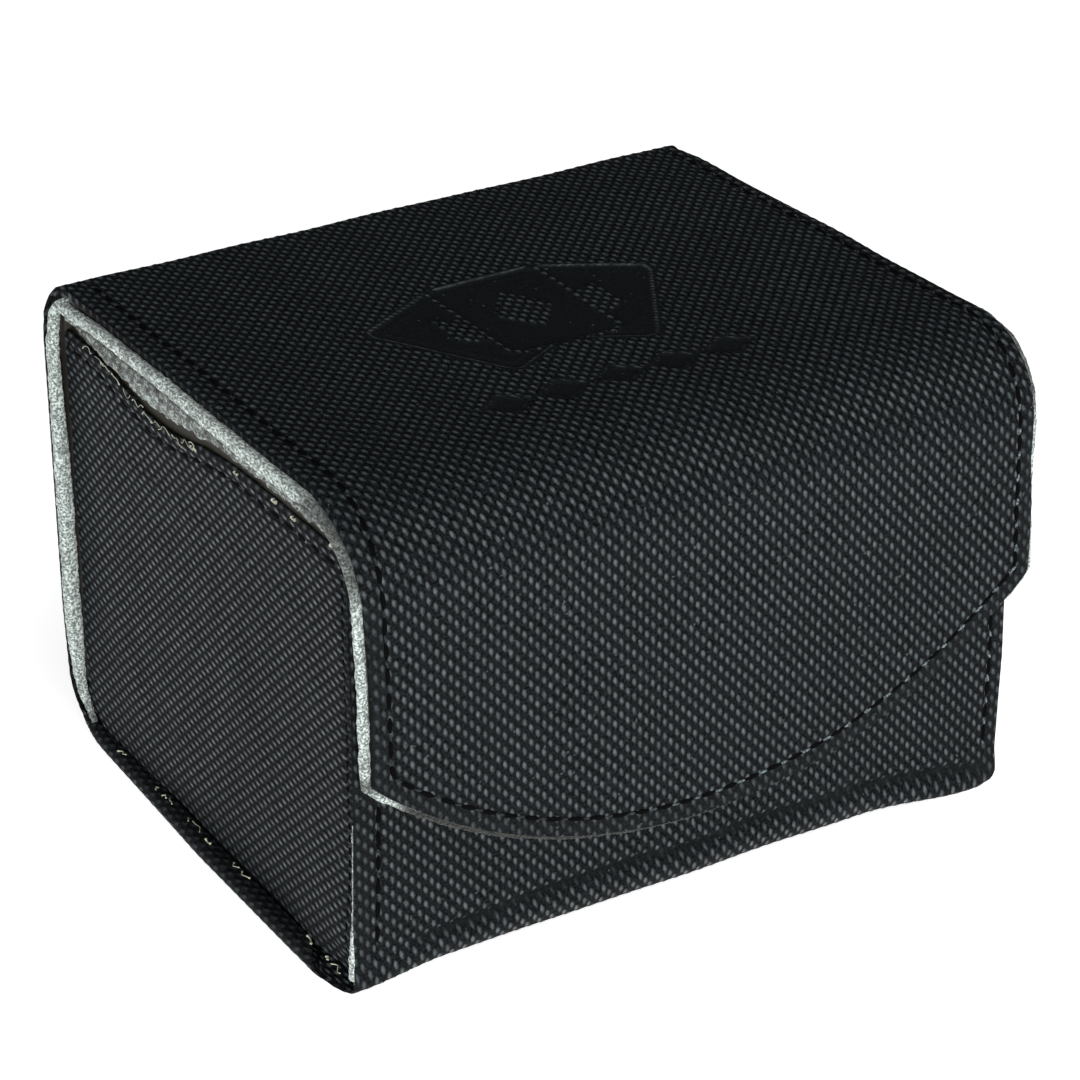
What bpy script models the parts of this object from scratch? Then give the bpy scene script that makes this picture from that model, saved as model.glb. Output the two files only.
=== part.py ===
"""Card deck box: a rigid box wrapped in embossed skin, with a soft-hinged lid whose front
flap folds down over the front wall and is held there by magnets.

One strip of skin runs up the front, under the base, up the back, over the lid and down the
flap. Boards stiffen the flat panels, and the two folds are left soft. The side panels are
separate and stand a little inside the strip's edges.

Units are millimetres in the design and metres in Blender. The origin is on the surface the
box stands on, under the middle of the closed box. +X is to the right, the front faces -Y
and +Z is up.
"""

import math

import bmesh
import bpy
from mathutils import Matrix, Vector

MM = 0.001

# The closed box
WRAP_WIDTH = 110.0
BACK_Y = 47.35
FRONT_Y = -41.05
FLAP_Y = -47.35
TOP_Z = 74.5

# The lid and flap are cut a little narrower than the box, and sit to the right on it
LID_LEFT = -52.8
LID_RIGHT = 55.0

# Layers
SKIN = 0.8
LINING = 0.7
GAP = 0.3
BASE_BOARD = 1.2
FRONT_BOARD = 1.6
BACK_BOARD = 1.9
SIDE_BOARD = 1.6
LID_BOARD = 1.2
FLAP_BOARD = 1.6

# Folds and corners
FRONT_CORNER = 5.0
BACK_CORNER = 9.0
HINGE_RADIUS = 4.0
BEND_DEPTH = 16.5
BEND_HEIGHT = 12.0
ARC_STEPS = 10

# Side panels
SIDE_RECESS = 2.0
SIDE_CORNER = 5.5
SIDE_RIM_Z = 70.9
SIDE_SKIN_TOP = 67.1
FRONT_RIM_Z = 68.5

# The flap's lower edge is one shallow arc
FLAP_ARC_X = -0.3
FLAP_ARC_RADIUS = 78.2
FLAP_LOW_Z = 15.9
FLAP_ARC_STEPS = 28
FLAP_BOARD_INSET = 0.6

# Magnets, in pairs that face each other when the flap is down
MAGNET_X = 28.0
MAGNET_Z = 33.0
MAGNET_RADIUS = 6.0
MAGNET_THICKNESS = 1.2

# Sewing thread, as one flat run along each seam
THREAD_WIDTH = 0.8
THREAD_HEIGHT = 0.3
PANEL_SEAM_INSET = 3.3
LID_SEAM_LEFT_INSET = 3.8
LID_SEAM_RIGHT_INSET = 2.3
FLAP_SEAM_INSET = 2.2
RIM_SEAM_DROP = 1.9
CORNER_SEAM_INSET = 1.4

# Depths below the wrap's outer face of the layers in each panel
board_depth = SKIN + GAP
base_lining_z = board_depth + BASE_BOARD + GAP
front_lining_y = FRONT_Y + board_depth + FRONT_BOARD + GAP
back_lining_y = BACK_Y - board_depth - BACK_BOARD - GAP
hinge_start_z = TOP_Z - HINGE_RADIUS
hinge_end_y = BACK_Y - HINGE_RADIUS
bend_start_y = FLAP_Y + BEND_DEPTH
bend_end_z = TOP_Z - BEND_HEIGHT
side_x = WRAP_WIDTH / 2 - SIDE_RECESS
side_board_x = side_x - SKIN - GAP
side_lining_x = side_board_x - SIDE_BOARD - GAP
inside_x = side_lining_x - LINING
liner_x = inside_x - GAP

# A sheet that swings through a quarter turn keeps its length when it turns about a point
# just outside the middle of its bend: these are that point's offsets for each fold.
hinge_middle = HINGE_RADIUS - 0.6
pivot_share = 0.785
LID_AXIS = (0.0, hinge_end_y + pivot_share * hinge_middle, hinge_start_z + pivot_share * hinge_middle)
fold_y = BEND_DEPTH - 1.0
fold_z = BEND_HEIGHT - 1.0
fold_length = math.pi / 2 * math.sqrt((fold_y ** 2 + fold_z ** 2) / 2)
FLAP_AXIS = (0.0,
             bend_start_y + (fold_z - fold_y - fold_length) / 2,
             bend_end_z + (fold_z - fold_y + fold_length) / 2)


def clear_scene():
    for thing in list(bpy.data.objects):
        bpy.data.objects.remove(thing, do_unlink=True)


def material(name, colour, roughness, metallic=0.0):
    made = bpy.data.materials.new(name)
    made.use_nodes = True
    shader = made.node_tree.nodes["Principled BSDF"]
    shader.inputs["Base Color"].default_value = (*colour, 1.0)
    shader.inputs["Roughness"].default_value = roughness
    shader.inputs["Metallic"].default_value = metallic
    return made


def pivot(name, place, parent=None):
    """An empty on a joint's axis, which its moving pieces hang from."""
    made = bpy.data.objects.new(name, None)
    bpy.context.scene.collection.objects.link(made)
    if parent:
        made.parent = parent
    made.location = (Vector(place) - Vector(parent["place"] if parent else (0, 0, 0))) * MM
    made["place"] = place
    return made


def finish(name, solid, finish_material, parent=None):
    """Turns a bmesh in the box's own millimetres into a named object under its pivot."""
    bmesh.ops.remove_doubles(solid, verts=solid.verts, dist=0.001)
    bmesh.ops.recalc_face_normals(solid, faces=solid.faces)
    place = Vector(parent["place"]) if parent else Vector((0, 0, 0))
    solid.transform(Matrix.Scale(MM, 4) @ Matrix.Translation(-place))
    mesh = bpy.data.meshes.new(name)
    solid.to_mesh(mesh)
    solid.free()
    made = bpy.data.objects.new(name, mesh)
    bpy.context.scene.collection.objects.link(made)
    made.data.materials.append(finish_material)
    made.parent = parent
    return made


def slab(low, high):
    """A flat rectangular layer between two corners."""
    solid = bmesh.new()
    size = Vector(high) - Vector(low)
    middle = (Vector(high) + Vector(low)) / 2
    bmesh.ops.create_cube(solid, size=1.0, matrix=Matrix.Translation(middle) @ Matrix.Diagonal((*size, 1.0)))
    return solid


def arc(centre, reach_y, reach_z, start, end):
    """Points of a quarter bend in the side view, each with its outward direction."""
    path = []
    for step in range(ARC_STEPS + 1):
        angle = math.radians(start + (end - start) * step / ARC_STEPS)
        point = Vector((centre[0] + reach_y * math.cos(angle), centre[1] + reach_z * math.sin(angle)))
        outward = Vector((math.cos(angle) / reach_y, math.sin(angle) / reach_z)).normalized()
        path.append((point, outward))
    return path


def bent_layer(path, near, far, left, right):
    """A sheet that follows a side-view path, between two depths below its outer face."""
    solid = bmesh.new()
    rings = []
    for point, outward in path:
        outer = point - outward * near
        inner = point - outward * far
        rings.append([solid.verts.new((x, p.x, p.y)) for x, p in
                      ((left, outer), (right, outer), (right, inner), (left, inner))])
    for ring, following in zip(rings, rings[1:]):
        for side in range(4):
            turn = (side + 1) % 4
            solid.faces.new((ring[side], ring[turn], following[turn], following[side]))
    solid.faces.new(rings[0])
    solid.faces.new(rings[-1])
    return solid


def flap_outline(inset):
    """The flap from its top left corner down, along its arc, and up to its top right corner."""
    left = LID_LEFT + inset
    right = LID_RIGHT - inset
    centre_z = FLAP_LOW_Z + FLAP_ARC_RADIUS
    radius = FLAP_ARC_RADIUS - inset
    top = bend_end_z - GAP
    start = math.asin((left - FLAP_ARC_X) / radius)
    end = math.asin((right - FLAP_ARC_X) / radius)
    outline = [(left, top)]
    for step in range(FLAP_ARC_STEPS + 1):
        angle = start + (end - start) * step / FLAP_ARC_STEPS
        outline.append((FLAP_ARC_X + radius * math.sin(angle), centre_z - radius * math.cos(angle)))
    outline.append((right, top))
    return outline


def flap_layer(inset, outer_y, thickness):
    solid = bmesh.new()
    front = solid.faces.new([solid.verts.new((x, outer_y, z)) for x, z in flap_outline(inset)])
    pushed = bmesh.ops.extrude_face_region(solid, geom=[front])
    moved = [v for v in pushed["geom"] if isinstance(v, bmesh.types.BMVert)]
    bmesh.ops.translate(solid, verts=moved, vec=(0, thickness, 0))
    return solid


def flap_seam():
    """The run of thread that follows the flap's sides and arc, just outside the skin."""
    solid = bmesh.new()
    near = flap_outline(FLAP_SEAM_INSET)
    far = flap_outline(FLAP_SEAM_INSET + THREAD_WIDTH)
    outer_y = FLAP_Y - GAP - THREAD_HEIGHT
    inner_y = FLAP_Y - GAP
    rings = [[solid.verts.new(corner) for corner in
              ((a[0], outer_y, a[1]), (b[0], outer_y, b[1]), (b[0], inner_y, b[1]), (a[0], inner_y, a[1]))]
             for a, b in zip(near, far)]
    for ring, following in zip(rings, rings[1:]):
        for side in range(4):
            turn = (side + 1) % 4
            solid.faces.new((ring[side], ring[turn], following[turn], following[side]))
    solid.faces.new(rings[0])
    solid.faces.new(rings[-1])
    return solid


def disc(centre, radius, thickness):
    """A short round piece whose axis runs front to back."""
    solid = bmesh.new()
    turned = Matrix.Translation(centre) @ Matrix.Rotation(math.pi / 2, 4, "X")
    bmesh.ops.create_cone(solid, cap_ends=True, segments=32, radius1=radius, radius2=radius,
                          depth=thickness, matrix=turned)
    return solid


def pocket(board, centre, finish_material, parent=None):
    """Cuts the round hole in a board that a magnet drops into."""
    cutter = finish(f"{board.name}_cutter", disc(centre, MAGNET_RADIUS + GAP, 4 * FRONT_BOARD),
                    finish_material, parent)
    cutter.hide_render = True
    cutter.display_type = "WIRE"
    cut = board.modifiers.new("magnet_pocket", "BOOLEAN")
    cut.operation = "DIFFERENCE"
    cut.object = cutter


def round_side_corner(solid):
    """Rounds a side layer's lower back corner, which lies in the wrap's soft corner."""
    back = max(v.co.y for v in solid.verts)
    low = min(v.co.z for v in solid.verts)
    corner = [e for e in solid.edges
              if all(abs(v.co.y - back) < 0.01 and abs(v.co.z - low) < 0.01 for v in e.verts)]
    bmesh.ops.bevel(solid, geom=corner, offset=SIDE_CORNER, segments=5, profile=0.5, affect="EDGES")


def side_lining(side):
    """The side's lining: up the inside, over the board's top and a short way down outside."""
    flange_z = SIDE_SKIN_TOP + GAP
    profile = [(inside_x, base_lining_z), (inside_x, SIDE_RIM_Z), (side_x, SIDE_RIM_Z), (side_x, flange_z),
               (side_x - LINING, flange_z), (side_x - LINING, SIDE_RIM_Z - LINING),
               (side_lining_x, SIDE_RIM_Z - LINING), (side_lining_x, base_lining_z)]
    solid = bmesh.new()
    rings = [[solid.verts.new((side * x, y, z)) for x, z in profile] for y in (front_lining_y, back_lining_y)]
    count = len(profile)
    for index in range(count):
        turn = (index + 1) % count
        solid.faces.new((rings[0][index], rings[0][turn], rings[1][turn], rings[1][index]))
    for ring in rings:
        solid.faces.new((ring[0], ring[1], ring[6], ring[7]))
        solid.faces.new((ring[1], ring[2], ring[5], ring[6]))
        solid.faces.new((ring[2], ring[3], ring[4], ring[5]))
    return solid


clear_scene()
skin = material("embossed_skin", (0.018, 0.020, 0.022), 0.5)
board = material("board", (0.30, 0.31, 0.31), 0.9)
microfibre = material("microfibre", (0.42, 0.45, 0.44), 0.95)
magnet = material("magnet_nickel", (0.62, 0.62, 0.60), 0.3, 1.0)
thread = material("thread", (0.010, 0.010, 0.011), 0.6)
lid_pivot = pivot("lid_pivot", LID_AXIS)
flap_pivot = pivot("flap_pivot", FLAP_AXIS, lid_pivot)

# The wrap: one strip up the front, under the base and up the back
half = WRAP_WIDTH / 2
front_top = (Vector((FRONT_Y, FRONT_RIM_Z)), Vector((-1, 0)))
back_top = (Vector((BACK_Y, hinge_start_z - GAP)), Vector((1, 0)))
wrap_path = ([front_top]
             + arc((FRONT_Y + FRONT_CORNER, FRONT_CORNER), FRONT_CORNER, FRONT_CORNER, 180, 270)
             + arc((BACK_Y - BACK_CORNER, BACK_CORNER), BACK_CORNER, BACK_CORNER, 270, 360)
             + [back_top])
finish("wrap_skin", bent_layer(wrap_path, 0, SKIN, -half, half), skin)

# Boards and linings of the front, base and back panels
front_board = finish("front_board", slab((-half, FRONT_Y + board_depth, FRONT_CORNER),
                                         (half, FRONT_Y + board_depth + FRONT_BOARD, FRONT_RIM_Z)), board)
finish("base_board", slab((-half, FRONT_Y + FRONT_CORNER, board_depth),
                          (half, BACK_Y - BACK_CORNER, board_depth + BASE_BOARD)), board)
finish("back_board", slab((-half, BACK_Y - board_depth - BACK_BOARD, BACK_CORNER),
                          (half, BACK_Y - board_depth, hinge_start_z - GAP)), board)
finish("front_lining", slab((-liner_x, front_lining_y, base_lining_z),
                            (liner_x, front_lining_y + LINING, FRONT_RIM_Z)), microfibre)
finish("base_lining", slab((-liner_x, front_lining_y + LINING + GAP, base_lining_z),
                           (liner_x, back_lining_y - 2 * LINING - GAP, base_lining_z + LINING)), microfibre)
finish("back_lining", slab((-liner_x, back_lining_y - LINING, base_lining_z + 2 * LINING + GAP),
                           (liner_x, back_lining_y, hinge_start_z - GAP)), microfibre)

# Side panels, the same on the left and on the right
for side, word in ((-1, "left"), (1, "right")):
    across = sorted((side * side_x, side * (side_x - SKIN)))
    solid = slab((across[0], front_lining_y, base_lining_z), (across[1], back_lining_y, SIDE_SKIN_TOP))
    round_side_corner(solid)
    finish(f"{word}_side_skin", solid, skin)
    across = sorted((side * side_board_x, side * (side_board_x - SIDE_BOARD)))
    solid = slab((across[0], front_lining_y, base_lining_z),
                 (across[1], back_lining_y, SIDE_RIM_Z - LINING - GAP))
    round_side_corner(solid)
    finish(f"{word}_side_board", solid, board)
    solid = side_lining(side)
    round_side_corner(solid)
    finish(f"{word}_side_lining", solid, microfibre)

# The lid, and the two soft folds with no board in them
finish("lid_skin", slab((LID_LEFT, bend_start_y + GAP, TOP_Z - SKIN), (LID_RIGHT, hinge_end_y - GAP, TOP_Z)),
       skin, lid_pivot)
lid_board_z = TOP_Z - board_depth
finish("lid_board", slab((LID_LEFT + FLAP_BOARD_INSET, bend_start_y + GAP, lid_board_z - LID_BOARD),
                         (LID_RIGHT - FLAP_BOARD_INSET, hinge_end_y - GAP, lid_board_z)), board, lid_pivot)
lid_lining_z = lid_board_z - LID_BOARD - GAP
finish("lid_lining", slab((LID_LEFT, bend_start_y + GAP, lid_lining_z - LINING),
                          (LID_RIGHT, hinge_end_y - GAP, lid_lining_z)), microfibre, lid_pivot)
hinge_path = arc((hinge_end_y, hinge_start_z), HINGE_RADIUS, HINGE_RADIUS, 0, 90)
finish("hinge_skin", bent_layer(hinge_path, 0, SKIN, LID_LEFT, LID_RIGHT), skin, lid_pivot)
finish("hinge_lining", bent_layer(hinge_path, board_depth, board_depth + LINING, LID_LEFT, LID_RIGHT),
       microfibre, lid_pivot)
bend_path = arc((bend_start_y, bend_end_z), BEND_DEPTH, BEND_HEIGHT, 90, 180)
finish("bend_skin", bent_layer(bend_path, 0, SKIN, LID_LEFT, LID_RIGHT), skin, lid_pivot)
finish("bend_lining", bent_layer(bend_path, board_depth, board_depth + LINING, LID_LEFT, LID_RIGHT),
       microfibre, lid_pivot)

# The flap
flap_board_y = FLAP_Y + board_depth
finish("flap_skin", flap_layer(0, FLAP_Y, SKIN), skin, flap_pivot)
flap_board = finish("flap_board", flap_layer(FLAP_BOARD_INSET, flap_board_y, FLAP_BOARD), board, flap_pivot)
finish("flap_lining", flap_layer(0, flap_board_y + FLAP_BOARD + GAP, LINING), microfibre, flap_pivot)

# Two pairs of magnets, each in a round pocket through its board
front_magnet_y = FRONT_Y + board_depth + FRONT_BOARD / 2
flap_magnet_y = flap_board_y + FLAP_BOARD / 2
for side, word in ((-1, "left"), (1, "right")):
    centre = Vector((side * MAGNET_X, front_magnet_y, MAGNET_Z))
    finish(f"front_magnet_{word}", disc(centre, MAGNET_RADIUS, MAGNET_THICKNESS), magnet)
    pocket(front_board, centre, board)
    centre = Vector((side * MAGNET_X, flap_magnet_y, MAGNET_Z))
    finish(f"flap_magnet_{word}", disc(centre, MAGNET_RADIUS, MAGNET_THICKNESS), magnet, flap_pivot)
    pocket(flap_board, centre, board, flap_pivot)

# Seams: the lid and flap, the front and back panels, and each side's rim and front corner
seam_low = TOP_Z + GAP
for edge, inward, word in ((LID_LEFT, LID_SEAM_LEFT_INSET, "left"), (LID_RIGHT, -LID_SEAM_RIGHT_INSET, "right")):
    middle = edge + inward
    finish(f"lid_thread_{word}", slab((middle - THREAD_WIDTH / 2, bend_start_y + GAP, seam_low),
                                      (middle + THREAD_WIDTH / 2, hinge_end_y - GAP, seam_low + THREAD_HEIGHT)),
           thread, lid_pivot)
finish("flap_thread", flap_seam(), thread, flap_pivot)
for side, word in ((-1, "left"), (1, "right")):
    middle = side * (half - PANEL_SEAM_INSET)
    low_x = middle - THREAD_WIDTH / 2
    high_x = middle + THREAD_WIDTH / 2
    finish(f"front_thread_{word}", slab((low_x, FRONT_Y - GAP - THREAD_HEIGHT, FRONT_CORNER),
                                        (high_x, FRONT_Y - GAP, FRONT_RIM_Z)), thread)
    finish(f"back_thread_{word}", slab((low_x, BACK_Y + GAP, BACK_CORNER),
                                       (high_x, BACK_Y + GAP + THREAD_HEIGHT, hinge_start_z - GAP)), thread)
    across = sorted((side * (side_x + GAP), side * (side_x + GAP + THREAD_HEIGHT)))
    rim_top = SIDE_SKIN_TOP - RIM_SEAM_DROP
    corner_y = front_lining_y + CORNER_SEAM_INSET
    finish(f"side_rim_thread_{word}", slab((across[0], corner_y + THREAD_WIDTH, rim_top - THREAD_WIDTH),
                                           (across[1], back_lining_y, rim_top)), thread)
    finish(f"side_corner_thread_{word}", slab((across[0], corner_y - THREAD_WIDTH, base_lining_z + THREAD_WIDTH),
                                              (across[1], corner_y, SIDE_SKIN_TOP)), thread)
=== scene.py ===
"""Card deck box: rigid case, lid on a soft hinge, curved front flap held by magnets."""
import math

import bmesh
import bpy
import numpy as np
from mathutils import Matrix, Vector


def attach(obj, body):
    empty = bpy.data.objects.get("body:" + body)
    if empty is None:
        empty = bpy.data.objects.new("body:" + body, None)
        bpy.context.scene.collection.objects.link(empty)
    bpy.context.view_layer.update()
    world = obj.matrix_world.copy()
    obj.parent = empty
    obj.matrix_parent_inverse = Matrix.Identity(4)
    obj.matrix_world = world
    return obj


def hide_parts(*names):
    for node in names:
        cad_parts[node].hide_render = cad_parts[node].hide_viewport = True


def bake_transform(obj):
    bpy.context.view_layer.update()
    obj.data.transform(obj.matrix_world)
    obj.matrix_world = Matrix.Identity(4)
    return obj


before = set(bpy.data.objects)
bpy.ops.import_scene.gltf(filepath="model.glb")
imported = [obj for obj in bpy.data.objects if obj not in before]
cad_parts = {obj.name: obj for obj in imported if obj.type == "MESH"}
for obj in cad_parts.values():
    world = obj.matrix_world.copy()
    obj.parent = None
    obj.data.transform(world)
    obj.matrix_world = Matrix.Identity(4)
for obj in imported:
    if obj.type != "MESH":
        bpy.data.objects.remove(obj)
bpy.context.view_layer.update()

# ------------------------------
# Camera: a long lens, a little above the box, looking at its front left corner.

lens = bpy.data.cameras.new("camera")
lens.lens = 124.32
lens.sensor_width = 36.0
lens.clip_end = 20.0
camera = bpy.data.objects.new("camera", lens)
bpy.context.scene.collection.objects.link(camera)
heading = Matrix.Rotation(math.radians(-31.12), 4, "Z")
tilt = Matrix.Rotation(math.radians(62.53), 4, "X")
roll = Matrix.Rotation(math.radians(-0.242), 4, "Z")
stand = Matrix.Translation((-0.251152, -0.418356, 0.291610))
camera.matrix_world = stand @ heading @ tilt @ roll
bpy.context.scene.camera = camera
bpy.context.scene.view_settings.view_transform = "Standard"


# ------------------------------
# Floor: one white translucent sheet, lit from below, wide enough to fill the view.
# Its colour comes through the shader class that every material below uses.

class Socket:
    """One socket of a material. Maths on sockets adds Math nodes."""

    def __init__(self, tree, link=None):
        self.tree = tree
        self.link = link

    def node(self, kind, settings, inputs, out=0):
        made = self.tree.nodes.new(kind)
        for name, value in settings.items():
            if name == "stops":
                ramp = made.color_ramp.elements
                for stop, (place, colour) in enumerate(value):
                    point = ramp[stop] if stop < len(ramp) else ramp.new(place)
                    point.position = place
                    point.color = colour
            else:
                setattr(made, name, value)
        for name, value in inputs.items():
            if isinstance(value, Socket):
                self.tree.links.new(value.link, made.inputs[name])
            else:
                made.inputs[name].default_value = value
        return Socket(self.tree, made.outputs[out]) if made.outputs else None

    def sum(self, operation, *values):
        return self.node("ShaderNodeMath", {"operation": operation}, dict(enumerate(values)))

    def __add__(self, other):
        return self.sum("ADD", self, other)

    def __radd__(self, other):
        return self.sum("ADD", other, self)

    def __sub__(self, other):
        return self.sum("SUBTRACT", self, other)

    def __rsub__(self, other):
        return self.sum("SUBTRACT", other, self)

    def __mul__(self, other):
        return self.sum("MULTIPLY", self, other)

    def __rmul__(self, other):
        return self.sum("MULTIPLY", other, self)

    def step(self, low, high):
        """0 below low, 1 above high, smooth between."""
        return self.node(
            "ShaderNodeMapRange",
            {"interpolation_type": "SMOOTHSTEP"},
            {"Value": self, "From Min": low, "From Max": high},
        )

    def blend(self, first, second):
        """A colour that goes from first to second as this socket goes from 0 to 1."""
        return self.node(
            "ShaderNodeMix", {"data_type": "RGBA"}, {0: self, 6: first, 7: second}, 2
        )

    def noise(self, scale, detail=2.0, stretch=None):
        place = self.node("ShaderNodeTexCoord", {}, {}, 3)
        if stretch:
            place = self.node("ShaderNodeMapping", {}, {"Vector": place, "Scale": stretch})
        return self.node(
            "ShaderNodeTexNoise", {}, {"Vector": place, "Scale": scale, "Detail": detail}
        )

    def bump(self, strength, distance):
        """A normal for the shader, with this socket as the height."""
        values = {"Strength": strength, "Distance": distance, "Height": self}
        return self.node("ShaderNodeBump", {}, values)


def finish_of(name, surface):
    """A new material. surface(start) gives the shader's inputs by name."""
    material = bpy.data.materials.new(name)
    material.use_nodes = True
    material.node_tree.nodes.clear()
    start = Socket(material.node_tree)
    shader = start.node("ShaderNodeBsdfPrincipled", {}, surface(start))
    start.node("ShaderNodeOutputMaterial", {}, {"Surface": shader})
    return material


def lit_sheet(start):
    fleck = start.noise(40.0)
    return {
        "Base Color": fleck.blend((0.86, 0.86, 0.86, 1), (0.88, 0.88, 0.88, 1)),
        "Roughness": 0.9,
        "Specular IOR Level": 0.1,
        "Emission Color": (0.9, 0.9, 0.9, 1),
        "Emission Strength": 0.8,
    }


bpy.ops.object.select_all(action="DESELECT")
bpy.ops.mesh.primitive_plane_add(size=8.0, location=(0, 0, 0))
floor = bpy.context.object
floor.name = "floor"
floor.data.materials.append(finish_of("lit_sheet", lit_sheet))

# ------------------------------
# Light: one big soft box above the front, two low ones in front of the front and left
# walls, and a dim room, so the lid stays nearly black.


def soft_box(name, direction, distance, size, power):
    lamp = bpy.data.lights.new(name, "AREA")
    lamp.shape = "RECTANGLE"
    lamp.size = size[0]
    lamp.size_y = size[1]
    lamp.energy = power
    obj = bpy.data.objects.new(name, lamp)
    bpy.context.scene.collection.objects.link(obj)
    way = Vector(direction).normalized()
    obj.location = way * distance + Vector((0, 0, 0.04))
    obj.rotation_euler = way.to_track_quat("Z", "Y").to_euler()


soft_box("bend_light", (0.36, -0.55, 0.80), 1.4, (1.3, 0.9), 8.5)
soft_box("front_light", (-0.35, -1.0, 0.27), 1.7, (1.2, 0.5), 25.0)
soft_box("left_light", (-1.0, 0.1, 0.32), 1.8, (1.2, 0.6), 12.5)

room = bpy.data.worlds.new("room")
room.use_nodes = True
room.node_tree.nodes["Background"].inputs["Color"].default_value = (0.9, 0.95, 1.0, 1)
room.node_tree.nodes["Background"].inputs["Strength"].default_value = 0.035
bpy.context.scene.world = room

# ------------------------------
# Case cover: one strip of black embossed skin, glued down the front board, round under
# the base, up the back board and over the hinge. Its sides are cut flush at the front,
# and folded up over the edges of the base board. Sizes in millimetres.


PIP_ACROSS = 2.04
PIP_ALONG = 2.25
SKIN = 0.8


def run(*legs):
    """A side-view path as fine stations: y, z and the outward normal, by length.
    A leg is a line with its ends and normal, or an arc or an inside bend with its
    centre, radii and angles."""
    rows = []
    for kind, first, second, third in legs:
        if kind == "line":
            for t in np.linspace(0, 1, 60):
                place = [first[k] + (second[k] - first[k]) * t for k in (0, 1)]
                rows.append((*place, *third))
        else:
            for turn in np.linspace(*[math.radians(v) for v in third], 60):
                c, s = math.cos(turn), math.sin(turn)
                ry, rz = second
                scale = math.hypot(c / ry, s / rz) * (-1 if kind == "bend" else 1)
                rows.append((first[0] + ry * c, first[1] + rz * s,
                             c / ry / scale, s / rz / scale))
    rows = np.array(rows)
    length = np.hypot(np.diff(rows[:, 0]), np.diff(rows[:, 1]))
    return np.concatenate([[0], np.cumsum(length)]), rows


def along(path, s):
    """y, z and the normal's y, z at length s."""
    return [np.interp(s, path[0], path[1][:, k]) for k in range(4)]


def rise(value, low, high):
    """0 below low, 1 above high, smooth between."""
    t = np.clip((value - low) / (high - low), 0, 1)
    return t * t * (3 - 2 * t)


def uneven(x, s, pitch):
    """A smooth wandering number between about -1 and 1."""
    k = 2 * math.pi / pitch
    return (np.sin(k * (x + 0.31 * s) + 1.3) * np.cos(k * (0.83 * s - 0.2 * x))
            + 0.6 * np.sin(k * (1.7 * x - 1.1 * s) + 0.4)
            + 0.4 * np.cos(k * (2.3 * s + 0.6 * x))) / 1.7


def emboss(x, s):
    """The embossed pips: 0 in the valleys, 1 on the pips."""
    across = 2 * math.pi * x / PIP_ACROSS
    down = 2 * math.pi * s / PIP_ALONG
    return 0.5 + 0.32 * np.cos(across) * np.cos(down) + 0.18 * np.cos(2 * across)


def outline_turn(spot):
    """How far round a square's outline, from 0 to 4, a spot on it lies."""
    a, b = spot[0], spot[1]
    if abs(b) >= abs(a):
        return (a + 1) / 2 if b < 0 else 2 + (1 - a) / 2
    return 1 + (b + 1) / 2 if a > 0 else 3 + (1 - b) / 2


def closed_sheet(name, material, columns, rows, surface, thick, under):
    """A sheet with a finely shaped face, its cut edges and a plain back, thick mm below.
    surface(a, b, depth) gives points in mm, and the pattern's across, along and
    press_and_painted_light: how smooth the face is pressed, with painted shade and highlight
    carried in it.
    The face has columns by rows of squares, and under gives the back's."""
    bpy.ops.object.select_all(action="DESELECT")
    layers = []
    for squares, depth, inset in (((columns, rows), 0.0, 1.0), (under, thick, 0.96)):
        bpy.ops.mesh.primitive_grid_add(
            x_subdivisions=squares[0], y_subdivisions=squares[1], size=2
        )
        layer = bpy.context.object
        flat = np.empty(len(layer.data.vertices) * 3)
        layer.data.vertices.foreach_get("co", flat)
        flat = flat.reshape(-1, 3)
        points, strip = surface(flat[:, 0] * inset, flat[:, 1] * inset, depth)
        layer.data.vertices.foreach_set("co", (points * 0.001).ravel())
        record = layer.data.attributes.new("strip", "FLOAT_VECTOR", "POINT")
        record.data.foreach_set("vector", strip.ravel())
        layers.append(layer)
        if depth == 0:
            flat_face = flat
            below = surface(flat[:, 0], flat[:, 1], thick)[0] * 0.001
    face, back = layers
    work = bmesh.new()
    work.from_mesh(face.data)
    work.verts.ensure_lookup_table()
    edges = [e for e in work.edges if e.is_boundary]
    deeper = {}
    for edge in edges:
        for vert in edge.verts:
            turn = outline_turn(flat_face[vert.index])
            deeper[vert.co.copy().freeze()] = (below[vert.index], turn)
    rim = []
    for vert in bmesh.ops.extrude_edge_only(work, edges=edges)["geom"]:
        if isinstance(vert, bmesh.types.BMVert):
            vert.co, turn = deeper[vert.co.copy().freeze()]
            rim.append((turn, vert))
    first = len(work.verts)
    work.from_mesh(back.data)
    work.verts.index_update()
    work.verts.ensure_lookup_table()
    inner = [(outline_turn(flat[vert.index - first]), vert)
             for vert in work.verts[first:] if vert.is_boundary]
    rim.sort(key=lambda pair: pair[0])
    inner.sort(key=lambda pair: pair[0])
    near = 0
    far = 0
    past_end = 9
    while near < len(rim) or far < len(inner):
        here = rim[near % len(rim)][1]
        there = inner[far % len(inner)][1]
        on_rim = rim[near][0] if near < len(rim) else past_end
        on_inner = inner[far][0] if far < len(inner) else past_end
        if on_rim <= on_inner:
            near += 1
            work.faces.new((here, rim[near % len(rim)][1], there))
        else:
            far += 1
            work.faces.new((here, inner[far % len(inner)][1], there))
    bmesh.ops.recalc_face_normals(work, faces=work.faces)
    work.to_mesh(face.data)
    work.free()
    bpy.data.objects.remove(back)
    face.name = name
    face.data.name = name
    face.data.materials.append(material)
    bpy.ops.object.select_all(action="DESELECT")
    face.select_set(True)
    bpy.context.view_layer.objects.active = face
    bpy.ops.object.shade_smooth_by_angle(angle=math.radians(50))
    return face


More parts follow.
